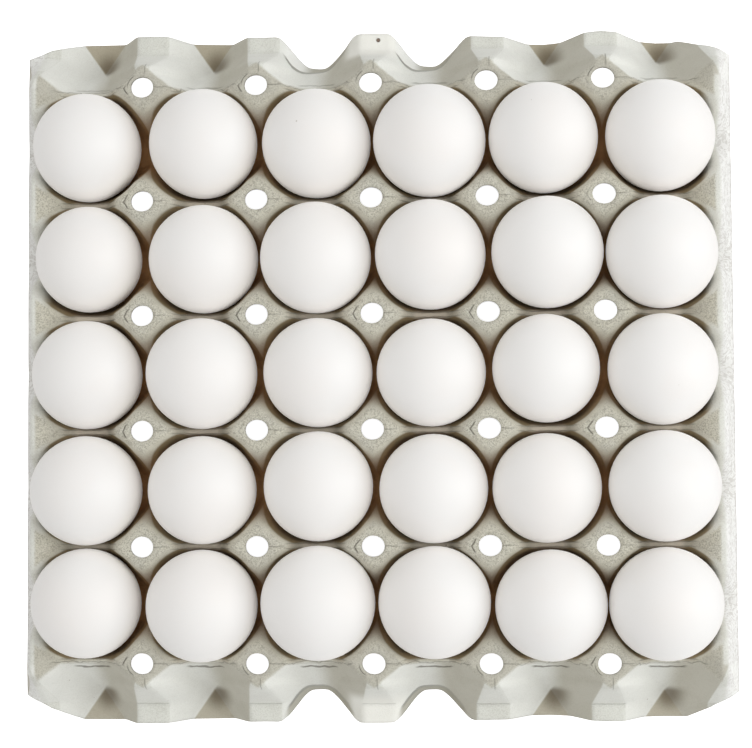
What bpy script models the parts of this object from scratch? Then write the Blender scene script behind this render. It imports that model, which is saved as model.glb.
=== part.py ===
"""Open moulded-pulp egg tray of six by five cups with thirty white eggs.

The tray is one thin sheet: a grid of points lifted by a height function, with an oval hole in
every post, given its thickness by Solidify. Every egg is a turned profile of its own size, seated
in its cup. +X and +Y are the photograph's right and top, and the tray stands on its cup floors.
"""

import math
import random

import bmesh
import bpy

# Plan of the tray, in metres
COLUMNS = 6
ROWS = 5
PITCH = 0.0476
HALF = PITCH / 2
SIDE_RIM = 0.1486
SIDE_CREST = 0.1410
FLAP_RIM = 0.1460
POST_ROW_END = ROWS * HALF
CORNER_CUT_X = 0.0180
CORNER_CUT_Y = 0.0120
SHEET = 0.0020
PRESSED_BELOW = 0.0010

# Heights of the sheet's upper face
FLOOR_TOP = SHEET
POST_TOP = 0.0460
CREST_TOP = 0.0440
ROW_RIDGE = 0.0270
COLUMN_RIDGE = 0.0190
SIDE_RIM_TOP = 0.0215
LEDGE_TOP = 0.0200
POCKET_TOP = 0.0045

# Cups and posts
CUP_FLOOR_RADIUS = 0.0115
CUP_WALL_SLOPE = 2.38
CUP_SHOULDER_RADIUS = 0.0220
CUP_UPPER_SLOPE = 2.75
POST_FLAT = 0.0046
POST_REACH = 0.0200
HOLE_RADIUS_X = 0.0046
HOLE_RADIUS_Y = 0.0041
CREST_HALF_WIDTH = 0.0060
ROW_RIDGE_FROM = 0.5
ROW_RIDGE_FULL = 0.9

# Flaps beyond the first and the last row of posts
LEDGE_START = 0.0185
LEDGE_HALF_WIDTH = 0.0069
SPUR_HALF_WIDTH = 0.0030
POCKET_START = 0.0140
POCKET_HALF_WIDTH = 0.0090
NOTCH_DEPTH = 0.0133
NOTCH_HALF_WIDTH = 0.0165

# Grid lines of one cup, as shares of half the pitch, and of one flap, in metres from the posts.
# On a flap the cup's lines run together to the edges of the pockets and of the ledges.
CUP_LINES = (0.0, 0.45, 0.80, 1.0)
LEDGE_LINES = (0.0, POCKET_HALF_WIDTH / HALF, 1.0 - LEDGE_HALF_WIDTH / HALF, 1.0)
FLAP_LINES = (0.0048, 0.0095, 0.0140, 0.0185, 0.0228, FLAP_RIM - POST_ROW_END)
HOLE_RING = 0.3 * HALF
SAME_PLACE = 0.0010

# Eggs: mean shell radius for each size letter, the photograph's top row first
EGG_RADIUS = {"A": 0.0218, "B": 0.0222, "C": 0.0226, "D": 0.0230, "E": 0.0233}
EGG_SIZES = ("BBBDCC", "ABCCDD", "BCBBBC", "CBBBBD", "CDEDDE")
EGG_LENGTH_RATIO = 1.275
EGG_BLUNTNESS = 0.11
EGG_RINGS = 7
EGG_STEPS = 14
EGG_GAP = 0.0038
EGG_LEAN = math.radians(1.5)
EGG_SEED = 30

PULP_COLOUR = (0.50, 0.49, 0.42, 1.0)
SHELL_COLOUR = (0.86, 0.83, 0.79, 1.0)


def clear_scene():
    for old in list(bpy.data.objects):
        bpy.data.objects.remove(old, do_unlink=True)


def material(name, colour, roughness):
    made = bpy.data.materials.new(name)
    made.use_nodes = True
    shader = made.node_tree.nodes["Principled BSDF"]
    shader.inputs["Base Color"].default_value = colour
    shader.inputs["Roughness"].default_value = roughness
    shader.inputs["Metallic"].default_value = 0.0
    return made


def blend(start, end, share):
    return start + (end - start) * min(max(share, 0.0), 1.0)


def ease(share):
    share = min(max(share, 0.0), 1.0)
    return share * share * (3 - 2 * share)


def nearest(value, count):
    """The centre nearest to value in a centred row of count places one pitch apart."""
    first = -(count - 1) * HALF
    place = round((value - first) / PITCH)
    return first + min(max(place, 0), count - 1) * PITCH


def cup_wall(radius):
    """Height of a cup's wall at a distance from the cup's axis: floor, wall, steeper shoulder."""
    if radius < CUP_FLOOR_RADIUS:
        return FLOOR_TOP
    lower = min(radius, CUP_SHOULDER_RADIUS) - CUP_FLOOR_RADIUS
    upper = max(radius - CUP_SHOULDER_RADIUS, 0.0)
    return FLOOR_TOP + lower * CUP_WALL_SLOPE + upper * CUP_UPPER_SLOPE


def post_share(across, along):
    """One on top of a post, falling to nothing at the post's reach."""
    away = (math.hypot(across, along) - POST_FLAT) / (POST_REACH - POST_FLAT)
    return 0.5 + 0.5 * math.cos(math.pi * min(max(away, 0.0), 1.0))


def inner_height(x, y):
    """Height between the side crests and between the end rows of posts."""
    cup_x = nearest(x, COLUMNS)
    cup_y = nearest(y, ROWS)
    row_share = ease((abs(y - cup_y) / HALF - ROW_RIDGE_FROM) / (ROW_RIDGE_FULL - ROW_RIDGE_FROM))
    ridge = blend(COLUMN_RIDGE, ROW_RIDGE, row_share)
    post_y = nearest(y, ROWS + 1)
    post_x = nearest(x, COLUMNS - 1)
    share = post_share(x - post_x, y - post_y)
    cap = blend(ridge, POST_TOP, share)
    side = max(SIDE_CREST - abs(x), 0.0)
    along = max(abs(y - post_y) - CREST_HALF_WIDTH, 0.0)
    crest = blend(ridge, CREST_TOP, post_share(side + POST_FLAT, along))
    return min(cup_wall(math.hypot(x - cup_x, y - cup_y)), max(cap, crest))


def side_height(x, y):
    """Height of the outer face that falls from the side crests to the rim."""
    top = inner_height(math.copysign(SIDE_CREST, x), y)
    return blend(top, SIDE_RIM_TOP, (abs(x) - SIDE_CREST) / (SIDE_RIM - SIDE_CREST))


def flap_height(x, out):
    """Height of a flap at a distance out from its row of posts: spur, ledge, slopes, pocket."""
    column = nearest(x, COLUMNS - 1)
    if abs(x) > abs(column) + HALF:
        column = math.copysign(SIDE_CREST, x)
    valley = nearest(x, COLUMNS)
    spur_top = POST_TOP if abs(column) < SIDE_CREST else CREST_TOP
    fall = (out - POST_FLAT) / (LEDGE_START - POST_FLAT)
    spur = blend(spur_top, LEDGE_TOP, fall)
    grow = min(out / LEDGE_START, 1.0)
    spur_edge = blend(SPUR_HALF_WIDTH, LEDGE_HALF_WIDTH, grow)
    pocket = blend(ROW_RIDGE, POCKET_TOP, out / POCKET_START)
    pocket_grow = (out - POCKET_START) / (FLAP_RIM - POST_ROW_END - POCKET_START)
    pocket_edge = blend(0.0, POCKET_HALF_WIDTH, pocket_grow)
    span = abs(valley - column) - spur_edge - pocket_edge
    return blend(spur, pocket, (abs(x - column) - spur_edge) / span)


def height(x, y):
    out = abs(y) - POST_ROW_END
    if out > 0:
        inside = math.copysign(min(abs(x), SIDE_CREST), x)
        top = flap_height(inside, out)
        return blend(top, SIDE_RIM_TOP, (abs(x) - SIDE_CREST) / (SIDE_RIM - SIDE_CREST))
    if abs(x) > SIDE_CREST:
        return side_height(x, y)
    return inner_height(x, y)


def cup_lines(count):
    """Grid lines of a centred row of cups, six spaces a cup."""
    lines = set()
    for cup in range(count):
        centre = (cup - (count - 1) / 2) * PITCH
        for share in CUP_LINES:
            lines.update((round(centre - share * HALF, 7), round(centre + share * HALF, 7)))
    return lines


def grid_columns():
    """X of every grid line: the outer cups end in a side crest and a rim."""
    kept = [line for line in cup_lines(COLUMNS) if abs(line) < SIDE_CREST - HOLE_RING]
    return sorted(kept + [-SIDE_RIM, -SIDE_CREST, SIDE_CREST, SIDE_RIM])


def grid_rows():
    """Y of every grid line: the cups, then the two flaps."""
    lines = cup_lines(ROWS)
    for out in FLAP_LINES:
        lines.update((-POST_ROW_END - out, POST_ROW_END + out))
    return sorted(lines)


def flap_length(x):
    """Length of a flap: cut back at the corners and in the two finger notches of each end."""
    full = FLAP_RIM - POST_ROW_END
    corner = blend(0.0, CORNER_CUT_Y, (abs(x) - SIDE_RIM + CORNER_CUT_X) / CORNER_CUT_X)
    notch = (abs(x) - HALF) / NOTCH_HALF_WIDTH
    depth = NOTCH_DEPTH * max(1 - notch * notch, 0.0)
    return full - corner - depth


def flap_x(x, out):
    """X of a grid line on a flap, on its way from the cup's line to the ledge's or pocket's."""
    valley = nearest(x, COLUMNS)
    share = abs(x - valley) / HALF
    if abs(x) > SIDE_CREST - SAME_PLACE or share > 1.0:
        return x
    line = min(range(len(CUP_LINES)), key=lambda place: abs(CUP_LINES[place] - share))
    moved = blend(CUP_LINES[line], LEDGE_LINES[line], out / LEDGE_START)
    return valley + math.copysign(moved * HALF, x - valley)


def hole_point(x, y):
    """A point beside a post's axis, moved onto the oval edge of the post's hole."""
    post_x = nearest(x, COLUMNS - 1)
    post_y = nearest(y, ROWS + 1)
    if math.hypot(x - post_x, y - post_y) > HOLE_RING:
        return x, y
    turn = math.atan2(y - post_y, x - post_x)
    return post_x + HOLE_RADIUS_X * math.cos(turn), post_y + HOLE_RADIUS_Y * math.sin(turn)


def sheet_mesh():
    """The upper face of the tray, with its post holes, as an open sheet."""
    columns = grid_columns()
    rows = grid_rows()
    sheet = bmesh.new()
    bmesh.ops.create_grid(
        sheet, x_segments=len(columns) - 1, y_segments=len(rows) - 1, size=1.0)
    posts = []
    full = FLAP_RIM - POST_ROW_END
    for point in sheet.verts:
        x = columns[round((point.co.x + 1) / 2 * (len(columns) - 1))]
        y = rows[round((point.co.y + 1) / 2 * (len(rows) - 1))]
        if math.hypot(x - nearest(x, COLUMNS - 1), y - nearest(y, ROWS + 1)) < SAME_PLACE:
            posts.append(point)
        x, y = hole_point(x, y)
        out = abs(y) - POST_ROW_END
        if out > HOLE_RADIUS_Y + SAME_PLACE:
            x = flap_x(x, out)
            y = math.copysign(POST_ROW_END + out * flap_length(x) / full, y)
        point.co = (x, y, height(x, y))
    bmesh.ops.delete(sheet, geom=posts, context="VERTS")
    bmesh.ops.triangulate(sheet, faces=sheet.faces[:], quad_method="SHORT_EDGE")
    mesh = bpy.data.meshes.new("tray")
    sheet.to_mesh(mesh)
    sheet.free()
    return mesh


def make_tray(collection, pulp):
    """The sheet made thick, with upright hole edges and the cup floors pressed flat below."""
    tray = bpy.data.objects.new("tray", sheet_mesh())
    collection.objects.link(tray)
    thick = tray.modifiers.new("thickness", "SOLIDIFY")
    thick.thickness = SHEET
    thick.offset = -1.0
    depsgraph = bpy.context.evaluated_depsgraph_get()
    tray.data = bpy.data.meshes.new_from_object(tray.evaluated_get(depsgraph))
    tray.modifiers.clear()
    for point in tray.data.vertices:
        if point.co.z < PRESSED_BELOW:
            point.co.z = 0.0
        if point.co.z > ROW_RIDGE:
            point.co.xy = hole_point(point.co.x, point.co.y)
    tray.data.materials.append(pulp)
    return tray


def egg_outline(radius):
    """Profile points from the blunt top to the narrow tip, about the egg's middle."""
    half_length = radius * EGG_LENGTH_RATIO
    points = []
    for step in range(EGG_RINGS + 1):
        turn = math.pi * step / EGG_RINGS
        across = radius * math.sin(turn) * (1 + EGG_BLUNTNESS * math.cos(turn))
        points.append((across, half_length * math.cos(turn)))
    points[0] = (0.0, half_length)
    points[-1] = (0.0, -half_length)
    return points


def seat(outline):
    """Height of an egg's middle when its outline stays one gap above the cup's wall."""
    lowest = 0.0
    for (wide, high), (across, down) in zip(outline, outline[1:]):
        for share in (0.0, 0.25, 0.5, 0.75):
            radius = blend(wide, across, share)
            lowest = max(lowest, cup_wall(radius) - blend(high, down, share))
    return lowest + EGG_GAP


def make_egg(collection, shell, name, size, place, lean):
    outline = egg_outline(EGG_RADIUS[size])
    mesh = bpy.data.meshes.new(name)
    edges = [(step, step + 1) for step in range(len(outline) - 1)]
    mesh.from_pydata([(across, 0.0, high) for across, high in outline], edges, [])
    egg = bpy.data.objects.new(name, mesh)
    collection.objects.link(egg)
    mesh.materials.append(shell)
    turned = egg.modifiers.new("turned", "SCREW")
    turned.steps = EGG_STEPS
    turned.render_steps = EGG_STEPS
    turned.use_merge_vertices = True
    turned.merge_threshold = 0.00005
    turned.use_smooth_shade = True
    egg.location = (place[0], place[1], seat(outline))
    egg.rotation_euler = lean
    return egg


def make_eggs(collection, shell):
    draw = random.Random(EGG_SEED)
    for row, sizes in enumerate(EGG_SIZES):
        for column, size in enumerate(sizes):
            place = ((column - (COLUMNS - 1) / 2) * PITCH, ((ROWS - 1) / 2 - row) * PITCH)
            lean = (draw.uniform(-EGG_LEAN, EGG_LEAN), draw.uniform(-EGG_LEAN, EGG_LEAN), 0.0)
            make_egg(collection, shell, f"egg_{row + 1}_{column + 1}", size, place, lean)


def main():
    clear_scene()
    collection = bpy.data.collections.new("egg_tray_with_eggs")
    bpy.context.scene.collection.children.link(collection)
    make_tray(collection, material("pulp", PULP_COLOUR, 0.95))
    make_eggs(collection, material("eggshell", SHELL_COLOUR, 0.45))


if __name__ == "__main__":
    main()
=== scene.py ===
"""Open pulp egg tray with thirty white eggs.

The tray is one fine sheet of moulded pulp with holed posts, ridges, finger notches and pressed
flaps. Every egg is a turned shell of its own size, leaning a little in its cup. Lengths are in
metres, the tray stands on its cup floors, +X and +Y are the photograph's right and top.
"""

import math
import random

import bmesh
import bpy
from bpy.props import FloatProperty, FloatVectorProperty, IntProperty, PointerProperty
from mathutils import Matrix, Vector, noise


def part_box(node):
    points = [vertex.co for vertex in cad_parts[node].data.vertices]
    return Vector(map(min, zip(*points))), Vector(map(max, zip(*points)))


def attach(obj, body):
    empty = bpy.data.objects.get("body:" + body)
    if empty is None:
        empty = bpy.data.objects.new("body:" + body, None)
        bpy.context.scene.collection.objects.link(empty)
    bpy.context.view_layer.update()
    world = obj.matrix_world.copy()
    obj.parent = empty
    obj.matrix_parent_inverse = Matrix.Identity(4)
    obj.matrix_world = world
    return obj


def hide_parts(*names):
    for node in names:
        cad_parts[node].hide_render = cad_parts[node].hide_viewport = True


bl_info = {
    "name": "Pulp Egg Tray",
    "version": (1, 0, 0),
    "blender": (4, 5, 0),
    "location": "3D View > Sidebar > Egg Tray",
    "description": "A moulded pulp tray with thirty white eggs and a studio stage",
    "category": "Add Mesh",
}

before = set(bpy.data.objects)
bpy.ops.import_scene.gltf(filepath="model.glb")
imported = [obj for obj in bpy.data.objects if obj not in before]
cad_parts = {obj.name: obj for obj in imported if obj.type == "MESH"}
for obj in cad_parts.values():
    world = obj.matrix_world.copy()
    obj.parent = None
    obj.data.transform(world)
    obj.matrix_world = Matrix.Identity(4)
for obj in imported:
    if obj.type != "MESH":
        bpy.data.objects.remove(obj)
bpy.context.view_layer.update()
tray_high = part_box("tray")[1]

# Plan of the tray, as in the solids
COLUMNS = 6
ROWS = 5
PITCH = 0.0476
HALF = PITCH / 2
SIDE_RIM = 0.1486
SIDE_CREST = 0.1410
SIDE_LIP = 0.1430
FLAP_RIM = tray_high.y - 0.0001
POST_ROW_END = ROWS * HALF
FLAP = FLAP_RIM - POST_ROW_END
CORNER_CUT_X = 0.0206
CORNER_CUT_NEAR = 0.0120
CORNER_CUT_FAR = 0.0092

# Heights of the sheet's upper face
SHEET = 0.0020
PRESSED_BELOW = 0.0010
POST_TOP = tray_high.z
CREST_TOP = POST_TOP - 0.0020
ROW_RIDGE = 0.0325
COLUMN_RIDGE = 0.0190
SIDE_RIM_TOP = 0.0215
LEDGE_TOP = 0.0200
POCKET_TOP = 0.0045

# Cups and posts
CUP_FLOOR_RADIUS = 0.0105
CUP_WALL_SLOPE = 2.38
CUP_SHOULDER_RADIUS = 0.0215
CUP_UPPER_SLOPE = 4.0
POST_FLAT = 0.0046
POST_REACH = 0.0200
CAP_REACH = 0.0090
CAP_HALF_WIDTH = 0.0105
CAP_FALL = 0.03
POSTS_END = 0.1110
FLANK_END_X = 0.0182
FLANK_END_Y = 0.0225
VALLEY_ROUND = 0.40
HOLE_RADIUS_X = 0.00475
HOLE_RADIUS_Y = 0.00430
CREST_HALF_WIDTH = 0.0060
ROW_RIDGE_FROM = 0.5
ROW_RIDGE_FULL = 0.9
CORNER_ROUND = 0.0007

# Flaps beyond the first and the last row of posts
LEDGE_START = 0.0185
LEDGE_HALF_WIDTH = 0.0069
SPUR_HALF_WIDTH = 0.0030
POCKET_START = 0.0140
POCKET_HALF_WIDTH = 0.0090
NOTCH_DEPTH = 0.0131
NOTCH_FLAT = 0.0021
NOTCH_LEFT = 0.0163
NOTCH_RIGHT = 0.0184
NOTCH_SHIFT = -0.0022
NOTCH_VALLEY_TOP = 0.0100
PRESSED_ROUND = 0.05
LIP_WIDE = 0.0046
LIP_NARROW = 0.0014
LIP_NEAR = 0.0020
LIP_TURN = 0.0110
LIP_MIDDLE = 0.4
LIP_DROP = 0.0034
PIN_HOLE_X = 0.0014
PIN_HOLE_Y = 0.1421
USUAL_TRIM = 0.0010

# How much shorter each flap was trimmed, in millimetres, every half pitch from the left
FAR_TRIM = (0.0, 0.0, 0.8, 1.6, 1.2, 0.9, 2.0, 3.3, 4.1, 2.0, 4.6)
NEAR_TRIM = (0.0, 0.0, 0.4, 0.8, 0.4, 0.3, 1.0, 1.7, 2.2, 1.2, 1.8)

# Lines of the fine sheet
COLUMN_STEP = HALF / 18
ROW_STEPS = 14
ROW_SPREAD = 0.38
FLAP_EVEN_FROM = 4
SIDE_STEPS = 7
HOLE_STEPS = 3
HOLE_DRAW = 1.6
FLAP_KEPT = 0.0060
SOFTEN = 0.0008
SAME_PLACE = 0.00001
SWAY_SCALE = 55
SWAY_FROM = 0.0040
SWAY_RISE = 0.0120

# Eggs
EGG_LENGTH_RATIO = 1.275
EGG_BLUNTNESS = 0.11
EGG_LEAN = math.radians(1.2)
EGG_WIDTH_STEP = 0.009
EGG_LUMP = 0.004
EGG_LUMP_SCALE = 1.6
EGG_LUMP_SPREAD = 90
OVAL_SEED = 31

# How every egg sits, from the far left to the near right: the way it leans, as on a map with
# north at the photograph's top, and whether it is a step wider (+) or narrower (-) than its solid
EGG_SEATS = (
    "w   ne+ e+  .   nw-  nw-",
    "n   e+  +   n   ne-  w-",
    "w+  +   e+  s   nw-  w-",
    "sw  s   ne+ se  sw   w--",
    "nw- s-  ne  ne- se-- w--",
)

# Colours of the pulp's own blotches, grain, dust, fibres, flecks and specks, and of the light and
# shade painted on it
BLOTCH = (0.66, 0.66, 0.61)
DARK_GRAIN = (0.28, 0.26, 0.20)
PALE_DUST = (0.86, 0.86, 0.82)
DARK_FIBRE = (0.30, 0.28, 0.22)
PALE_FIBRE = (0.82, 0.82, 0.78)
END_POST = (0.52, 0.505, 0.440)
# Painted light: the side panels are lightened for the light they catch
LIT_SIDE_RIM = (0.93, 0.93, 0.93)
RIM_FLECK = (0.40, 0.37, 0.33)
SHADED_SLOPE = (0.46, 0.430, 0.345)
LIT_SLOPE = (0.90, 0.91, 0.88)
# Painted light on the middle tab of each flap
LIT_MIDDLE_TAB = (0.93, 0.93, 0.88)
# Painted shade in the flaps' pockets, darkest at their tips
POCKET_SHADE = (0.405, 0.345, 0.230)
POCKET_TIP_SHADOW = (0.15, 0.115, 0.070)
# Painted light and painted shade on the notches' curled lips
LIT_LIP = (0.95, 0.96, 0.93)
SHADED_LIP = (0.40, 0.38, 0.30)
# Painted shade on the foot of a post's side over a ridge
SHADED_RIDGE_FLANK = (0.36, 0.29, 0.20)
# Painted shade in a band beside each egg
SHADE_BESIDE_EGG = (0.22, 0.15, 0.055)
# Painted light on the ridge tops between the rows of eggs
LIT_RIDGE_STRIP = (0.80, 0.70, 0.58)
# Painted shadow, near black, in the gap round each egg's cup
RIM_GAP_SHADOW = (0.10, 0.050, 0.025)
# Painted shade in the creases, which are also pressed in by the bump
FOLD_SHADE = (0.14, 0.13, 0.10)
# Painted shade in the pin hole
PIN_HOLE_SHADE = (0.16, 0.09, 0.05)
SPECK = (0.20, 0.15, 0.11)

# Depths of the pulp's fine relief
GRAIN_RELIEF = 0.00026
DUST_RELIEF = 0.00010
RAY_RELIEF = 0.00022
FOLD_RELIEF = 0.00040
PIN_HOLE_RELIEF = 0.0008

# Colours of the shells beside the clouded white: painted warm bounce light on the lower sides, and
# the specks
BOUNCE_LIT_SHELL = (0.990, 0.955, 0.925)
SHELL_SPECK = (0.42, 0.36, 0.30)

# Camera over the tray, in the photograph's frame
CAMERA_PLACE = (0.069, -0.050, 0.896)
CAMERA_TURN = (-3.25, 4.54, -0.49)
CAMERA_LENS = 100.15
CAMERA_SENSOR = 36.0

# Stage: two lights, the light from all around, and two floors, of which the upper one glows and
# shows to the camera alone, and the lower one only gives light back to the tray
LIGHTS_TARGET = (0.0, 0.0, 0.030)
KEY_PLACE = (1.20, 0.03, 0.95)
KEY_SIZE = (0.9, 1.4)
KEY_COLOUR = (0.985, 0.995, 1.0)
TOP_PLACE = (-0.15, 0.25, 1.7)
TOP_SIZE = (1.8, 1.8)
TOP_COLOUR = (0.975, 0.985, 1.0)
AMBIENT_COLOUR = (1.0, 0.988, 0.965)
FLOOR_HALF_SIZE = 3.0
FLOOR_LEVEL = -0.0003
FLOOR_UNDER_LEVEL = -0.0010
FLOOR_DARK = (0.78, 0.78, 0.78)
FLOOR_PALE = (0.82, 0.82, 0.82)
FLOOR_LIGHT = (1.0, 1.0, 1.0)


def blend(start, end, share):
    return start + (end - start) * min(max(share, 0.0), 1.0)


def ease(share):
    share = min(max(share, 0.0), 1.0)
    return share * share * (3 - 2 * share)


def soft_min(first, second, width):
    """The lower of two heights, with the corner between them rounded."""
    share = min(max(0.5 + 0.5 * (second - first) / width, 0.0), 1.0)
    return second + (first - second) * share - width * share * (1 - share)


def round_foot(share, part):
    """A straight fall whose last part levels out."""
    share = min(max(share, 0.0), 1.0)
    late = max(share - (1 - part), 0.0)
    return (share - late * late / (2 * part)) / (1 - part / 2)


def nearest(value, count):
    """The centre nearest to value in a centred row of count places one pitch apart."""
    first = -(count - 1) * HALF
    place = round((value - first) / PITCH)
    return first + min(max(place, 0), count - 1) * PITCH


def cup_wall(radius):
    if radius < CUP_FLOOR_RADIUS:
        return SHEET
    lower = min(radius, CUP_SHOULDER_RADIUS) - CUP_FLOOR_RADIUS
    upper = max(radius - CUP_SHOULDER_RADIUS, 0.0)
    return SHEET + lower * CUP_WALL_SLOPE + upper * CUP_UPPER_SLOPE


def post_share(across, along):
    away = (math.hypot(across, along) - POST_FLAT) / (POST_REACH - POST_FLAT)
    return 0.5 + 0.5 * math.cos(math.pi * min(max(away, 0.0), 1.0))


def cap_away(across, along):
    """Distance from a post's centre, counted so that equal distances make a diamond."""
    across *= CAP_REACH / CAP_HALF_WIDTH
    return 0.5 * (abs(across) + abs(along)) + 0.5 * math.hypot(across, along)


def cap_height(away):
    return POST_TOP - CAP_FALL * min(away, CAP_REACH)


def inner_height(x, y):
    cup_x = nearest(x, COLUMNS)
    cup_y = nearest(y, ROWS)
    row_share = ease((abs(y - cup_y) / HALF - ROW_RIDGE_FROM) / (ROW_RIDGE_FULL - ROW_RIDGE_FROM))
    ridge = blend(COLUMN_RIDGE, ROW_RIDGE, row_share)
    post_y = nearest(y, ROWS + 1)
    post_x = nearest(x, COLUMNS - 1)
    away = cap_away(x - post_x, y - post_y)
    end_x = FLANK_END_X * CAP_REACH / CAP_HALF_WIDTH
    reach = abs(x - post_x) + abs(y - post_y)
    end = blend(end_x, FLANK_END_Y, abs(y - post_y) / max(reach, SAME_PLACE))
    fall = round_foot((away - CAP_REACH) / (end - CAP_REACH), VALLEY_ROUND)
    post = blend(cap_height(away), ridge, fall)
    side = max(SIDE_CREST - abs(x), 0.0)
    along = max(abs(y - post_y) - CREST_HALF_WIDTH, 0.0)
    crest = blend(ridge, CREST_TOP, post_share(side + POST_FLAT, along))
    wall = cup_wall(math.hypot(x - cup_x, y - cup_y))
    return soft_min(wall, max(post, crest), CORNER_ROUND)


def flap_height(x, out):
    column = nearest(x, COLUMNS - 1)
    if abs(x) > abs(column) + HALF:
        column = math.copysign(SIDE_CREST, x)
    valley = nearest(x, COLUMNS)
    if abs(column) < SIDE_CREST:
        top = cap_height(cap_away(x - column, out))
        spur = blend(top, LEDGE_TOP, (out - CAP_REACH) / (LEDGE_START - CAP_REACH))
        widening = blend(0.0, LEDGE_HALF_WIDTH, out / LEDGE_START)
        spur_edge = max(CAP_HALF_WIDTH * (1 - out / CAP_REACH), widening)
    else:
        spur = blend(CREST_TOP, LEDGE_TOP, (out - POST_FLAT) / (LEDGE_START - POST_FLAT))
        spur_edge = SPUR_HALF_WIDTH / 2
    bottom = NOTCH_VALLEY_TOP if abs(valley) < PITCH else POCKET_TOP
    pocket = blend(ROW_RIDGE, bottom, out / POCKET_START)
    pocket_edge = blend(0.0, POCKET_HALF_WIDTH, (out - POCKET_START) / (FLAP - POCKET_START))
    flank_foot = max(pocket_edge, blend(HALF - FLANK_END_X, 0.0, out / POCKET_START))
    span = abs(valley - column) - spur_edge - flank_foot
    pressed = 0.0 if abs(valley) < PITCH else ease(out / POCKET_START)
    foot = blend(VALLEY_ROUND, PRESSED_ROUND, pressed)
    return blend(spur, pocket, round_foot((abs(x - column) - spur_edge) / span, foot))


def height(x, y):
    out = abs(y) - POST_ROW_END
    inside = math.copysign(min(abs(x), SIDE_CREST), x)
    top = flap_height(inside, out) if out > 0 else inner_height(inside, y)
    return blend(top, SIDE_RIM_TOP, (abs(x) - SIDE_LIP) / (SIDE_RIM - SIDE_LIP))


def notch_share(x):
    """One at the deepest point of a finger notch, nothing beyond its ends."""
    from_middle = x - NOTCH_SHIFT - math.copysign(HALF, x)
    reach = NOTCH_LEFT if from_middle < 0 else NOTCH_RIGHT
    return 1 - ease((abs(from_middle) - NOTCH_FLAT) / (reach - NOTCH_FLAT))


def flap_length(x, side):
    """Length of the far or near flap: trimmed, cut at the corners and notched for the fingers."""
    trims = FAR_TRIM if side > 0 else NEAR_TRIM
    place = min(max(x / HALF + (len(trims) - 1) / 2, 0.0), len(trims) - 1.001)
    trim = 0.001 * blend(trims[int(place)], trims[int(place) + 1], place % 1.0)
    cut = CORNER_CUT_FAR if side > 0 else CORNER_CUT_NEAR
    corner = blend(0.0, cut, (abs(x) - SIDE_RIM + CORNER_CUT_X) / CORNER_CUT_X)
    return FLAP - corner - blend(trim, NOTCH_DEPTH, notch_share(x))


def lip_width(x, side):
    """The curled edge: narrow on the near flap, wide at the left of a notch on the far one."""
    if side < 0:
        return LIP_NEAR
    from_middle = x - NOTCH_SHIFT - math.copysign(HALF, x)
    return blend(LIP_WIDE, LIP_NARROW, LIP_MIDDLE + from_middle / (2 * LIP_TURN))


def notch_lip(x, y):
    """How far the sheet curls down beside the edge of a finger notch."""
    deep = notch_share(x)
    if deep == 0:
        return 0.0
    side = math.copysign(1.0, y)
    edge = POST_ROW_END + flap_length(x, side)
    slope = (flap_length(x + 0.001, side) - flap_length(x - 0.001, side)) / 0.002
    away = (edge - abs(y)) / math.hypot(1.0, slope)
    return LIP_DROP * max(1 - away / lip_width(x, side), 0.0) * ease(deep / 0.3)


def soft_height(x, y):
    """The height averaged over a small patch, so that every fold is rounded like wet pulp."""
    total = 0.0
    for across, weight_x in ((-SOFTEN, 1), (0.0, 2), (SOFTEN, 1)):
        for along, weight_y in ((-SOFTEN, 1), (0.0, 2), (SOFTEN, 1)):
            total += weight_x * weight_y * height(x + across, y + along)
    return total / 16


def sheet_columns():
    inner = int(SIDE_CREST / COLUMN_STEP)
    lines = [step * COLUMN_STEP for step in range(1, inner + 1)] + [SIDE_CREST]
    panel = (SIDE_RIM - SIDE_CREST) / SIDE_STEPS
    lines += [SIDE_CREST + step * panel for step in range(1, SIDE_STEPS + 1)]
    return [-line for line in reversed(lines)] + [0.0] + lines


def row_offset(step):
    """Distance of a line from its row of posts: close at the posts, wide at the cups' middles."""
    share = step / ROW_STEPS
    return HALF * ((1 - ROW_SPREAD) * share + ROW_SPREAD * share * share)


def sheet_rows():
    lines = set()
    for row in range(ROWS + 1):
        post = (row - ROWS / 2) * PITCH
        for step in range(ROW_STEPS + 1):
            for line in (post - row_offset(step), post + row_offset(step)):
                if abs(line) <= POST_ROW_END + SAME_PLACE:
                    lines.add(round(line, 7))
    flap = [row_offset(step) for step in range(1, FLAP_EVEN_FROM + 1)]
    steps = round((FLAP - flap[-1]) / COLUMN_STEP)
    flap += [blend(flap[-1], FLAP, step / steps) for step in range(1, steps + 1)]
    for out in flap:
        lines.update((round(-POST_ROW_END - out, 7), round(POST_ROW_END + out, 7)))
    return sorted(lines)


def hole_place(x, y):
    """A point near a post, drawn towards the oval edge of the post's hole."""
    post_x = nearest(x, COLUMNS - 1)
    post_y = nearest(y, ROWS + 1)
    across = (x - post_x) / (HOLE_STEPS * COLUMN_STEP)
    along = (y - post_y) / row_offset(HOLE_STEPS)
    square = max(abs(across), abs(along))
    if square < 0.9 or square > 1 + HOLE_DRAW:
        return x, y
    turn = math.atan2(along, across)
    keep = ease((square - 1) / HOLE_DRAW)
    oval_x = post_x + HOLE_RADIUS_X * square * math.cos(turn)
    oval_y = post_y + HOLE_RADIUS_Y * square * math.sin(turn)
    return blend(oval_x, x, keep), blend(oval_y, y, keep)


def clear_hole(x, y):
    """A point of the lower face that strayed into a post's hole, back on the hole's edge."""
    post_x = nearest(x, COLUMNS - 1)
    post_y = nearest(y, ROWS + 1)
    reach = math.hypot((x - post_x) / HOLE_RADIUS_X, (y - post_y) / HOLE_RADIUS_Y)
    if reach > 1:
        return x, y
    return post_x + (x - post_x) / reach, post_y + (y - post_y) / reach


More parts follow.
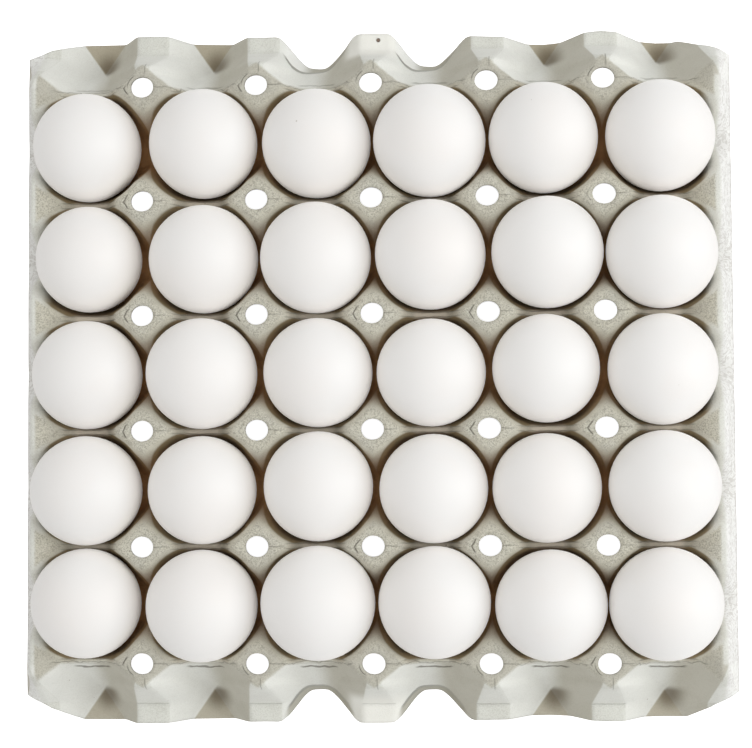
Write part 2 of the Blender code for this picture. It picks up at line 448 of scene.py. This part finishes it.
def trimmed(x, y):
    """A point's place along Y, drawn in so that the sheet's last line is the flap's edge."""
    out = abs(y) - POST_ROW_END
    if out <= FLAP_KEPT:
        return y
    share = (flap_length(x, y) - FLAP_KEPT) / (FLAP - FLAP_KEPT)
    return math.copysign(POST_ROW_END + FLAP_KEPT + (out - FLAP_KEPT) * share, y)


def tray_sheet(tray):
    """The upper face of the tray as an open sheet with its post holes."""
    columns = sheet_columns()
    rows = sheet_rows()
    sheet = bmesh.new()
    bmesh.ops.create_grid(
        sheet, x_segments=len(columns) - 1, y_segments=len(rows) - 1, size=1.0)
    inside_holes = []
    for point in sheet.verts:
        x = columns[round((point.co.x + 1) / 2 * (len(columns) - 1))]
        y = rows[round((point.co.y + 1) / 2 * (len(rows) - 1))]
        across = abs(x - nearest(x, COLUMNS - 1)) / (HOLE_STEPS * COLUMN_STEP)
        along = abs(y - nearest(y, ROWS + 1)) / row_offset(HOLE_STEPS)
        if max(across, along) < 0.99:
            inside_holes.append(point)
        x, y = hole_place(x, y)
        y = trimmed(x, y)
        z = soft_height(x, y) - notch_lip(x, y)
        sway = noise.fractal(Vector((x, y, 0.3)) * SWAY_SCALE, 0.9, 2.1, 4)
        z += tray.unevenness * sway * ease((z - SWAY_FROM) / SWAY_RISE)
        point.co = (x, y, z)
    bmesh.ops.delete(sheet, geom=inside_holes, context="VERTS")
    mesh = bpy.data.meshes.new("pulp_tray")
    sheet.to_mesh(mesh)
    sheet.free()
    return mesh


def bake_modifiers(piece):
    depsgraph = bpy.context.evaluated_depsgraph_get()
    piece.data = bpy.data.meshes.new_from_object(piece.evaluated_get(depsgraph))
    piece.modifiers.clear()


def finish_piece(piece, material, slot, *nodes):
    piece.data.materials.clear()
    piece.data.materials.append(material)
    for face in piece.data.polygons:
        face.use_smooth = True
    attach(piece, "root")
    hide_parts(*nodes)


class Term:
    """A node's output that takes part in Python expressions on values."""

    def __init__(self, shader, socket):
        self.shader = shader
        self.socket = socket

    def maths(self, operation, *terms):
        return self.shader.node("ShaderNodeMath", {"operation": operation}, dict(enumerate(terms)))

    def __add__(self, other):
        return self.maths("ADD", self, other)

    def __radd__(self, other):
        return self.maths("ADD", other, self)

    def __sub__(self, other):
        return self.maths("SUBTRACT", self, other)

    def __rsub__(self, other):
        return self.maths("SUBTRACT", other, self)

    def __mul__(self, other):
        return self.maths("MULTIPLY", self, other)

    def __rmul__(self, other):
        return self.maths("MULTIPLY", other, self)

    def __truediv__(self, other):
        return self.maths("DIVIDE", self, other)

    def __abs__(self):
        return self.maths("ABSOLUTE", self)

    def wrap(self, low, high):
        return self.maths("WRAP", self, high, low)

    def root(self):
        return self.maths("SQRT", self)

    def length(self, other):
        return (self * self + other * other).root()

    def turn(self, across):
        return self.maths("ARCTAN2", self, across)

    def cosine(self):
        return self.maths("COSINE", self)

    def sine(self):
        return self.maths("SINE", self)

    def lesser(self, other):
        return self.maths("MINIMUM", self, other)

    def greater(self, other):
        return self.maths("MAXIMUM", self, other)

    def rise(self, low, high):
        """Zero at low, one at high, with a smooth step between."""
        return self.shader.node(
            "ShaderNodeMapRange", {"interpolation_type": "SMOOTHSTEP"},
            {"Value": self, "From Min": low, "From Max": high})

    def line(self, width):
        """One where this is zero, fading to nothing at the width on either side."""
        return 1 - abs(self).rise(width * 0.35, width)


class Shader:
    """The nodes of one material around its Principled BSDF."""

    def __init__(self, name):
        self.material = bpy.data.materials.new(name)
        self.material.use_nodes = True
        self.tree = self.material.node_tree
        self.surface = self.tree.nodes["Principled BSDF"]
        self.place = self.node("ShaderNodeTexCoord", output="Object")

    def node(self, kind, settings=None, sockets=None, output=0):
        made = self.tree.nodes.new(kind)
        for name, value in (settings or {}).items():
            setattr(made, name, value)
        for name, value in (sockets or {}).items():
            self.feed(made, name, value)
        return Term(self, made.outputs[output])

    def feed(self, node, name, value):
        if isinstance(value, Term):
            self.tree.links.new(value.socket, node.inputs[name])
        else:
            node.inputs[name].default_value = value

    def split(self, vector):
        return [self.node("ShaderNodeSeparateXYZ", None, {0: vector}, axis) for axis in range(3)]

    def join(self, x, y, z):
        return self.node("ShaderNodeCombineXYZ", None, {0: x, 1: y, 2: z})

    def noise(self, scale, detail=3.0, roughness=0.55, distortion=0.0, place=None):
        return self.node(
            "ShaderNodeTexNoise", {"noise_dimensions": "3D"},
            {"Vector": place or self.place, "Scale": scale, "Detail": detail,
             "Roughness": roughness, "Distortion": distortion})

    def cells(self, scale, output="Distance"):
        return self.node(
            "ShaderNodeTexVoronoi", None, {"Vector": self.place, "Scale": scale}, output)

    def mix(self, first, second, share):
        """The second colour laid over the first by a share."""
        settings = {"data_type": "RGBA", "blend_type": "MIX", "clamp_factor": True}
        return self.node("ShaderNodeMix", settings, {0: share, 6: first, 7: second}, 2)

    def bump(self, relief, distance, strength=1.0):
        return self.node("ShaderNodeBump", None, {
            "Height": relief, "Distance": distance, "Strength": strength})

    def set(self, **values):
        for name, value in values.items():
            self.feed(self.surface, name.replace("_", " "), value)
        return self.material


def opaque(colour):
    return (*colour, 1.0)


class PulpShader(Shader):
    """Moulded pulp, with the places on the tray that its marks are measured from."""

    def __init__(self, name):
        super().__init__(name)
        self.x, self.y, self.z = self.split(self.place)
        self.across = self.x.wrap(-HALF, HALF)
        self.along = (self.y + HALF).wrap(-HALF, HALF)
        self.cup_across = (self.x + HALF).wrap(-HALF, HALF)
        self.out = abs(self.y) - POST_ROW_END
        self.inside = 1 - self.out.rise(-0.0005, 0.0015)
        self.near_side = 1 - self.y.rise(-0.01, 0.01)
        self.end_row = self.out.rise(-0.0110, -0.0010)
        normal = self.node("ShaderNodeTexCoord", output="Normal")
        upward = self.split(normal)[2].rise(-0.1, 0.1)
        off_side = 1 - abs(self.x).rise(SIDE_CREST - 0.0065, SIDE_CREST - 0.0020)
        self.inner = self.inside * upward * off_side
        self.waver = (self.noise(240.0, 1.0) - 0.5) * 0.0011
        cap_edge = abs(self.across) / 0.0124 + abs(self.along) / 0.0100 + self.waver * 90
        off_crest = 1 - abs(self.x).rise(SIDE_CREST - 0.0015, SIDE_CREST)
        self.cap_top = (1 - cap_edge.rise(0.86, 1.06)) * off_crest

    def rays(self):
        """Strokes that run out from the holes over the posts, different on every post."""
        turn = self.along.turn(self.across)
        away = self.across.length(self.along)
        return self.noise(1.0, 2.0, 0.7, 0.2, self.join(
            turn.cosine() * 32.0 + (self.x - self.across) * 300.0,
            turn.sine() * 32.0 + (self.y - self.along) * 300.0, away * 1300.0))

    def post_folds(self):
        """Creases at a post: a hook, a ring and a thread by its hole, and two on the end spurs."""
        across, along, out, waver = self.across, self.along, self.out, self.waver
        pick = self.noise(31.0, 0.0, 0.5, 0.0, self.join(self.x - across, self.y - along, 0.7))
        hook = across + 0.0058 + pick * 0.0030 - abs(along + 0.0003) * 0.62 + waver
        hook = hook.line(0.00046) * (1 - abs(along).rise(0.0022, 0.0034)) * pick.rise(0.44, 0.56)
        ring = (across / HOLE_RADIUS_X).length(along / HOLE_RADIUS_Y) - 1.27 + waver * 60
        ring = ring.line(0.055) * (1 - across.rise(-0.0040, -0.0028)) * (1 - self.inside)
        thread = (along + waver * 0.7).line(0.00022) * across.rise(0.0044, 0.0052)
        thread = thread * (1 - across.rise(0.0085, 0.0125))
        ledge = (out - LEDGE_START + waver).line(0.0003) * self.near_side
        ledge = ledge * (1 - abs(across).rise(0.0064, 0.0074))
        spur = (across - 0.0012 + waver * 0.3).line(0.0003) * out.rise(0.0052, 0.0062)
        spur = spur * (1 - out.rise(0.0100, 0.0115))
        folds = (hook * self.inside).greater(thread * 0.5).greater(ring * 0.8)
        folds = folds.greater(ledge * 0.35).greater(spur * 0.5)
        return folds * (1 - abs(self.x).rise(POSTS_END - 0.001, POSTS_END + 0.001))

    def sheet_folds(self):
        """Creases along the ridges, and a short and a long one where the flaps begin."""
        ridge = (abs(self.along) - 0.0011 + self.waver).line(0.00035) * self.inside
        ridge = ridge * abs(self.across).rise(0.010, 0.013)
        short = (self.out - 0.0024 + self.waver * 1.5).line(0.0005)
        short = short * (1 - abs(self.cup_across).rise(0.0060, 0.0085))
        long = (self.out - 0.0003 + self.waver * 3.0).line(0.00025)
        long = long * abs(self.across).rise(0.007, 0.010)
        folds = (ridge * 0.45).greater(short * (0.55 + 0.45 * self.near_side))
        return folds.greater(long * 0.55)

    def notch_edges(self):
        """The notches' curled lips, painted lit where they face the light and painted in shade
        where they face away, and the crease inside them.
        """
        depth = NOTCH_DEPTH - USUAL_TRIM
        notch_x = abs(self.x - NOTCH_SHIFT) - HALF
        from_middle = notch_x * (self.x.rise(-0.001, 0.001) * 2 - 1)
        reach = from_middle.rise(-0.0001, 0.0001) * (NOTCH_RIGHT - NOTCH_LEFT) + NOTCH_LEFT
        deep = 1 - abs(notch_x).rise(NOTCH_FLAT, reach)
        slope = (deep * (1 - deep)).root() * 3.0 * depth / (reach - NOTCH_FLAT)
        from_edge = (FLAP - USUAL_TRIM - deep * depth - self.out) / slope.length(1.0)
        right = (from_middle * (0.5 / LIP_TURN) + LIP_MIDDLE).greater(0.0).lesser(1.0)
        far_width = LIP_WIDE - right * (LIP_WIDE - LIP_NARROW)
        width = far_width * (1 - self.near_side) + self.near_side * LIP_NEAR
        inner_edge = from_edge - width + self.waver * 0.3
        lip = (1 - inner_edge.rise(-0.0003, 0.0001)) * deep.rise(0.05, 0.25)
        pale = lip * (1 - right.rise(0.10, 0.30)) * (1 - self.near_side)
        dark = lip * right.rise(0.15, 0.38).greater(self.near_side)
        crease = (inner_edge - 0.0002).line(0.00060) * deep.rise(0.08, 0.3)
        return pale, dark, crease * (0.9 - right * 0.6)

    def pockets(self):
        """The pressed triangles of the flaps, painted in shade, and the deeper painted shade at
        the tip of each.
        """
        beyond = self.out - POCKET_START
        edge = beyond * (POCKET_HALF_WIDTH / (FLAP - POCKET_START))
        outer = abs(self.x).rise(PITCH, PITCH + 0.001)
        pocket = (edge - abs(self.cup_across)).rise(-0.0006, 0.0004) * outer
        tip = (self.cup_across * 0.9 - 0.0016).length((beyond - 0.0015) * 0.8)
        tip = (1 - tip.rise(0.0010, 0.0080)) * beyond.rise(-0.0030, 0.0005) * outer
        return pocket, tip * (self.cup_across + edge).rise(-0.0008, 0.0008)

    def slopes(self, pocket):
        """The flaps' slopes that lie in shade, and those that face the light."""
        spur_edge = (self.out * (LEDGE_HALF_WIDTH / LEDGE_START)).lesser(LEDGE_HALF_WIDTH)
        off_spur = (abs(self.across) - spur_edge).rise(-0.0004, 0.0004)
        outside = 1 - self.inside
        slopes = off_spur * outside * (1 - self.cap_top) * (1 - pocket)
        facing_left = self.cup_across.rise(-0.0040, 0.0060)
        ramp = 1 - self.out.rise(LEDGE_START - 0.0008, LEDGE_START)
        ramp = ramp * self.out.rise(0.0095, 0.0110) * (1 - off_spur) * 0.8
        return slopes * facing_left, (slopes * (1 - facing_left)).greater(ramp) * outside

    def depths(self):
        """Painted shade on the low pulp between the eggs, in the bands beside them and, near
        black, in the gaps at their cups.
        """
        low = (1 - self.z.rise(0.0185, 0.0450)) * self.inner * abs(self.along).rise(0.003, 0.009)
        low = low * (1 - abs(self.x).rise(SIDE_CREST - 0.0130, SIDE_CREST - 0.0070))
        cup_away = self.cup_across.length(self.y.wrap(-HALF, HALF))
        off_ridge = self.inner * abs(self.along).rise(0.0006, 0.0016)
        band = (1 - cup_away.rise(0.0244, 0.0251)) * off_ridge
        gap = (1 - cup_away.rise(0.0226, 0.0238)) * off_ridge * (1 - low * 0.8)
        return low, band, gap

    def ridges(self):
        """Painted shade on the foot of a post's side over a ridge, and painted light on the
        ridge's top.
        """
        flank = abs(self.across).rise(0.0112, 0.0138) * (1 - abs(self.across).rise(0.0160, 0.0185))
        flank = flank * (1 - abs(self.along).rise(0.0045, 0.0070)) * self.inner
        strip = (1 - abs(self.along).rise(0.0010, 0.0024)) * abs(self.across).rise(0.0150, 0.0185)
        return flank, strip * self.inner * (1 - self.end_row)

    def specks(self):
        pick = self.split(self.cells(170.0, "Color"))[0]
        return (1 - self.cells(170.0).rise(0.03, 0.07)) * pick.rise(0.88, 0.93)


def pulp_material(tray):
    shader = PulpShader("moulded_pulp")
    cap_top, near_side = shader.cap_top, shader.near_side
    blotches = shader.noise(85.0, 3.0, 0.6)
    grain = shader.noise(1500.0, 2.0, 0.75)
    dust = shader.noise(3300.0, 1.0, 0.7)
    strands = shader.noise(480.0, 1.0, 0.5, 1.6)
    fibres = (strands - 0.5).line(0.030) * blotches.rise(0.44, 0.60)
    pale_fibres = (strands - 0.40).line(0.020) * (1 - blotches.rise(0.42, 0.56))
    rays = shader.rays()
    side_rim = abs(shader.x).rise(SIDE_CREST + 0.0005, SIDE_CREST + 0.0025)
    # Where the painted light on the middle tab of each flap goes
    lit_middle_tab = (1 - abs(shader.x).rise(0.0100, 0.0150)) * shader.out.rise(0.0120, 0.0175)
    pocket, pocket_tip_shadow = shader.pockets()
    shaded_slope, lit_slope = shader.slopes(pocket)
    lit_lip, shaded_lip, lip_crease = shader.notch_edges()
    shaded_ridge_flank, lit_ridge_strip = shader.ridges()
    low, shade_beside_egg, rim_gap_shadow = shader.depths()
    folds = shader.post_folds().greater(shader.sheet_folds()).greater(lip_crease)
    pin_hole = (shader.x - PIN_HOLE_X).length(shader.y - PIN_HOLE_Y)
    pin_hole = 1 - pin_hole.rise(0.0006, 0.0010)

    layers = (
        (tray.pale_colour, (1 - cap_top) * (1 - shader.inner)),
        (BLOTCH, blotches.rise(0.40, 0.70) * 0.35),
        (DARK_GRAIN, grain.rise(0.47, 0.62) * (0.17 + 0.42 * cap_top)),
        (PALE_DUST, (1 - dust.rise(0.32, 0.48)) * 0.30),
        (DARK_FIBRE, fibres * 0.14),
        (PALE_FIBRE, pale_fibres * 0.22),
        (DARK_FIBRE, rays.rise(0.50, 0.62) * cap_top * 0.40),
        (END_POST, shader.end_row * cap_top * 0.5),
        # Painted light on the side panels
        (LIT_SIDE_RIM, side_rim * 0.70),
        (RIM_FLECK, side_rim * strands.rise(0.45, 0.60) * 0.35),
        (SHADED_SLOPE, shaded_slope * 0.60),
        (LIT_SLOPE, lit_slope * 0.5),
        # Painted light on the middle tab
        (LIT_MIDDLE_TAB, lit_middle_tab * 0.9),
        # Painted shade in the pockets and at their tips
        (POCKET_SHADE, pocket * (0.75 - 0.15 * near_side)),
        (POCKET_TIP_SHADOW, pocket_tip_shadow * 0.75),
        # Painted light and shade on the notches' lips
        (LIT_LIP, lit_lip * 0.85),
        (SHADED_LIP, shaded_lip * 0.7),
        # Painted shade on the posts' flanks over the ridges
        (SHADED_RIDGE_FLANK, shaded_ridge_flank * 0.30),
        # Painted shade beside the eggs
        (SHADE_BESIDE_EGG, shade_beside_egg * 0.82),
        # Painted warm shade on the low pulp between the eggs
        (tray.painted_shade_colour, low * tray.painted_shade_share),
        # Painted light on the ridge tops
        (LIT_RIDGE_STRIP, lit_ridge_strip * 0.65),
        # Painted shadow in the gaps at the cups
        (RIM_GAP_SHADOW, rim_gap_shadow * 0.5),
        # Painted shade along the creases
        (FOLD_SHADE, folds * 0.70),
        # Painted shade in the pin hole
        (PIN_HOLE_SHADE, pin_hole * 0.9),
        (SPECK, shader.specks() * 0.6),
    )
    colour = opaque(tray.colour)
    for shade, share in layers:
        colour = shader.mix(colour, opaque(shade), share)

    relief = grain * GRAIN_RELIEF + dust * DUST_RELIEF + rays * cap_top * RAY_RELIEF
    relief = relief * tray.grain_strength - folds * FOLD_RELIEF - pin_hole * PIN_HOLE_RELIEF
    return shader.set(
        Base_Color=colour, Roughness=0.92, Specular_IOR_Level=0.22,
        Normal=shader.bump(relief, 1.0))


def shell_material(eggs):
    shader = Shader("white_eggshell")
    mottle = shader.noise(70.0, 2.0, 0.55)
    cloud = shader.noise(24.0, 1.0, 0.5)
    pores = shader.noise(1900.0, 1.0, 0.6)
    speck_pick = shader.split(shader.cells(105.0, "Color"))[0]
    specks = (1 - shader.cells(105.0).rise(0.022, 0.05)) * speck_pick.rise(0.90, 0.93)

    upper = shader.split(shader.place)[2].rise(0.0440, 0.0560)
    warm = opaque(eggs.warm_colour)
    colour = shader.mix(opaque(eggs.colour), warm, cloud.rise(0.35, 0.75) * 0.5)
    # Painted warm bounce light: the lower sides round the limbs are brighter and warmer
    colour = shader.mix(opaque(BOUNCE_LIT_SHELL), colour, upper)
    colour = shader.mix(colour, warm, mottle.rise(0.50, 0.80) * 0.25)
    colour = shader.mix(colour, opaque(SHELL_SPECK), specks * 0.6)
    relief = mottle * 0.5 + pores * 0.3
    return shader.set(
        Base_Color=colour, Roughness=0.44 + 0.12 * mottle, Specular_IOR_Level=0.36,
        Sheen_Weight=1.0, Sheen_Roughness=0.6,
        Normal=shader.bump(relief, 0.00012, 0.55))


def floor_material(name, glow):
    shader = Shader(name)
    shade = shader.noise(3.0, 2.0)
    colour = shader.mix(opaque(FLOOR_DARK), opaque(FLOOR_PALE), shade)
    return shader.set(
        Base_Color=colour, Roughness=0.9, Specular_IOR_Level=0.1,
        Emission_Color=opaque(FLOOR_LIGHT), Emission_Strength=glow)


def flat_floor(name, level, material):
    ground = bmesh.new()
    bmesh.ops.create_grid(ground, x_segments=1, y_segments=1, size=FLOOR_HALF_SIZE)
    mesh = bpy.data.meshes.new(name)
    ground.to_mesh(mesh)
    ground.free()
    floor = bpy.data.objects.new(name, mesh)
    floor.location.z = level
    bpy.context.scene.collection.objects.link(floor)
    mesh.materials.append(material)
    return floor


def egg_shell(name, eggs, seat, draw):
    """A turned shell with its blunt end up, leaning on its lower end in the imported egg's cup."""
    low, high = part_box(name)
    middle = (low + high) / 2
    half_length = (high.z - low.z) / 2
    east = EGG_LEAN * (seat.count("e") - seat.count("w"))
    north = EGG_LEAN * (seat.count("n") - seat.count("s"))
    steps = seat.count("+") - seat.count("-")
    radius = half_length / EGG_LENGTH_RATIO * (1 + EGG_WIDTH_STEP * steps)
    oval = draw.uniform(-eggs.unevenness, eggs.unevenness)
    shell = bmesh.new()
    bmesh.ops.create_uvsphere(shell, u_segments=eggs.steps, v_segments=eggs.rings, radius=1.0)
    tilt = Matrix.Rotation(east, 4, "Y") @ Matrix.Rotation(-north, 4, "X")
    place = Matrix.Translation((middle.x, middle.y, low.z)) @ tilt
    place = place @ Matrix.Translation((0, 0, half_length))
    for point in shell.verts:
        side = radius * (1 + EGG_BLUNTNESS * point.co.z)
        spot = point.co * EGG_LUMP_SCALE + middle * EGG_LUMP_SPREAD
        lump = 1 + EGG_LUMP * noise.noise(spot)
        shape = Vector((
            point.co.x * side * (1 + oval) * lump,
            point.co.y * side * (1 - oval) * lump,
            point.co.z * half_length))
        point.co = place @ shape
    mesh = bpy.data.meshes.new(name + "_shell")
    shell.to_mesh(mesh)
    shell.free()
    return mesh


def soft_light(name, place, size, power, colour):
    lamp = bpy.data.lights.new(name, "AREA")
    lamp.shape = "RECTANGLE"
    lamp.size, lamp.size_y = size
    lamp.energy = power
    lamp.color = colour
    light = bpy.data.objects.new(name, lamp)
    light.location = place
    bpy.context.scene.collection.objects.link(light)
    sight = Vector(LIGHTS_TARGET) - light.location
    light.rotation_euler = sight.to_track_quat("-Z", "Y").to_euler()


def camera_turn():
    """Rotation of the camera from the turn of the tray in the photograph's frame."""
    turn = Vector([math.radians(angle) for angle in CAMERA_TURN])
    rows = Matrix.Rotation(turn.length, 3, turn.normalized())
    rows = rows @ Matrix(((1, 0, 0), (0, -1, 0), (0, 0, -1)))
    right, down, forward = rows
    return Matrix((right, -down, -forward)).transposed().to_4x4()


class TraySettings(bpy.types.PropertyGroup):
    colour: FloatVectorProperty(
        name="Pulp", description="Colour of the grey pulp", subtype="COLOR", size=3,
        min=0.0, max=1.0, default=(0.672, 0.655, 0.556))
    pale_colour: FloatVectorProperty(
        name="Pale pulp", description="Colour of the smoother pulp of the flaps", subtype="COLOR",
        size=3, min=0.0, max=1.0, default=(0.770, 0.782, 0.730))
    # Painted shade: a warm darkening of the low pulp between the eggs
    painted_shade_colour: FloatVectorProperty(
        name="Deep pulp", description="Warm colour of the pulp between the eggs",
        subtype="COLOR", size=3, min=0.0, max=1.0, default=(0.73, 0.420, 0.198))
    painted_shade_share: FloatProperty(
        name="Deep share", description="How far the deep places take the warm colour",
        subtype="FACTOR", min=0.0, max=1.0, default=0.90)
    grain_strength: FloatProperty(
        name="Grain", description="Strength of the fibres' relief", subtype="FACTOR",
        min=0.0, max=1.0, default=0.80)
    unevenness: FloatProperty(
        name="Unevenness", description="Sway of the pressed sheet", subtype="DISTANCE",
        unit="LENGTH", min=0.0, max=0.002, default=0.00035)
    thickness: FloatProperty(
        name="Sheet", description="Thickness of the pulp sheet", subtype="DISTANCE",
        unit="LENGTH", min=0.0005, max=0.004, default=SHEET)


class EggSettings(bpy.types.PropertyGroup):
    colour: FloatVectorProperty(
        name="Shell", description="Colour of the white shell", subtype="COLOR", size=3,
        min=0.0, max=1.0, default=(0.915, 0.908, 0.902))
    warm_colour: FloatVectorProperty(
        name="Warm shell", description="Colour of the warmer clouds in the shell",
        subtype="COLOR", size=3, min=0.0, max=1.0, default=(0.910, 0.875, 0.850))
    unevenness: FloatProperty(
        name="Oval", description="Share by which an egg may be wider one way", subtype="FACTOR",
        min=0.0, max=0.05, default=0.006)
    steps: IntProperty(
        name="Steps", description="Faces round an egg", min=24, max=128, default=56)
    rings: IntProperty(
        name="Rings", description="Faces from an egg's top to its tip", min=16, max=96, default=38)


class StageSettings(bpy.types.PropertyGroup):
    floor_glow: FloatProperty(
        name="Floor glow", description="Light of the floor itself", min=0.0, max=2.0, default=1.0)
    key_power: FloatProperty(
        name="Key light", description="Power of the soft light at the right", subtype="POWER",
        unit="POWER", min=0.0, max=100.0, default=9.6)
    top_power: FloatProperty(
        name="Top light", description="Power of the broad light above", subtype="POWER",
        unit="POWER", min=0.0, max=100.0, default=1.0)
    ambient: FloatProperty(
        name="Ambient", description="Light from all around", min=0.0, max=2.0, default=0.71)


class EGGTRAY_OT_tray(bpy.types.Operator):
    """Mould the pulp tray"""

    bl_idname = "eggtray.tray"
    bl_label = "Pulp tray"

    def execute(self, context):
        tray = context.scene.egg_tray
        piece = bpy.data.objects.new("pulp_tray", tray_sheet(tray))
        context.scene.collection.objects.link(piece)
        thick = piece.modifiers.new("thickness", "SOLIDIFY")
        thick.thickness = tray.thickness
        thick.offset = -1.0
        bake_modifiers(piece)
        for point in piece.data.vertices:
            if point.co.z < PRESSED_BELOW:
                point.co.z = 0.0
            if point.co.z > ROW_RIDGE:
                point.co.xy = clear_hole(point.co.x, point.co.y)
        finish_piece(piece, pulp_material(tray), "pulp", "tray")
        return {"FINISHED"}


class EGGTRAY_OT_eggs(bpy.types.Operator):
    """Set a white egg into every cup"""

    bl_idname = "eggtray.eggs"
    bl_label = "White eggs"

    def execute(self, context):
        eggs = context.scene.tray_eggs
        material = shell_material(eggs)
        ovals = random.Random(OVAL_SEED)
        for row, seats in enumerate(EGG_SEATS, 1):
            for column, seat in enumerate(seats.split(), 1):
                name = f"egg_{row}_{column}"
                piece = bpy.data.objects.new("shell_" + name, egg_shell(name, eggs, seat, ovals))
                context.scene.collection.objects.link(piece)
                finish_piece(piece, material, "eggshell", name)
        return {"FINISHED"}


class EGGTRAY_OT_stage(bpy.types.Operator):
    """Lay the pale floor and set the soft lights and the camera"""

    bl_idname = "eggtray.stage"
    bl_label = "Studio stage"

    def execute(self, context):
        scene = context.scene
        stage = scene.tray_stage
        floor = flat_floor("floor", FLOOR_LEVEL, floor_material("pale_floor", stage.floor_glow))
        floor.visible_diffuse = floor.visible_glossy = floor.visible_shadow = False
        flat_floor("floor_under", FLOOR_UNDER_LEVEL, floor_material("plain_floor", 0.0))

        soft_light("key_light", KEY_PLACE, KEY_SIZE, stage.key_power, KEY_COLOUR)
        soft_light("top_light", TOP_PLACE, TOP_SIZE, stage.top_power, TOP_COLOUR)
        world = bpy.data.worlds.new("studio")
        world.use_nodes = True
        backdrop = world.node_tree.nodes["Background"]
        backdrop.inputs["Color"].default_value = opaque(AMBIENT_COLOUR)
        backdrop.inputs["Strength"].default_value = stage.ambient
        scene.world = world

        view = bpy.data.cameras.new("camera")
        view.lens = CAMERA_LENS
        view.sensor_width = CAMERA_SENSOR
        view.clip_start = 0.01
        camera = bpy.data.objects.new("camera", view)
        camera.matrix_world = Matrix.Translation(CAMERA_PLACE) @ camera_turn()
        scene.collection.objects.link(camera)
        scene.camera = camera
        scene.view_settings.view_transform = "Standard"
        return {"FINISHED"}


class EGGTRAY_PT_panel(bpy.types.Panel):
    """Pieces of the egg tray and what can be changed on them"""

    bl_idname = "EGGTRAY_PT_panel"
    bl_label = "Egg Tray"
    bl_space_type = "VIEW_3D"
    bl_region_type = "UI"
    bl_category = "Egg Tray"

    def draw(self, context):
        groups = (
            (context.scene.egg_tray, EGGTRAY_OT_tray),
            (context.scene.tray_eggs, EGGTRAY_OT_eggs),
            (context.scene.tray_stage, EGGTRAY_OT_stage),
        )
        for settings, operator in groups:
            box = self.layout.box()
            box.operator(operator.bl_idname)
            for name in settings.__annotations__:
                box.prop(settings, name)


CLASSES = (
    TraySettings, EggSettings, StageSettings,
    EGGTRAY_OT_tray, EGGTRAY_OT_eggs, EGGTRAY_OT_stage, EGGTRAY_PT_panel,
)


def register():
    for entry in CLASSES:
        bpy.utils.register_class(entry)
    bpy.types.Scene.egg_tray = PointerProperty(type=TraySettings)
    bpy.types.Scene.tray_eggs = PointerProperty(type=EggSettings)
    bpy.types.Scene.tray_stage = PointerProperty(type=StageSettings)


def unregister():
    del bpy.types.Scene.tray_stage
    del bpy.types.Scene.tray_eggs
    del bpy.types.Scene.egg_tray
    for entry in reversed(CLASSES):
        bpy.utils.unregister_class(entry)


def main():
    register()
    bpy.ops.eggtray.tray()
    bpy.ops.eggtray.eggs()
    bpy.ops.eggtray.stage()


if __name__ == "__main__":
    main()
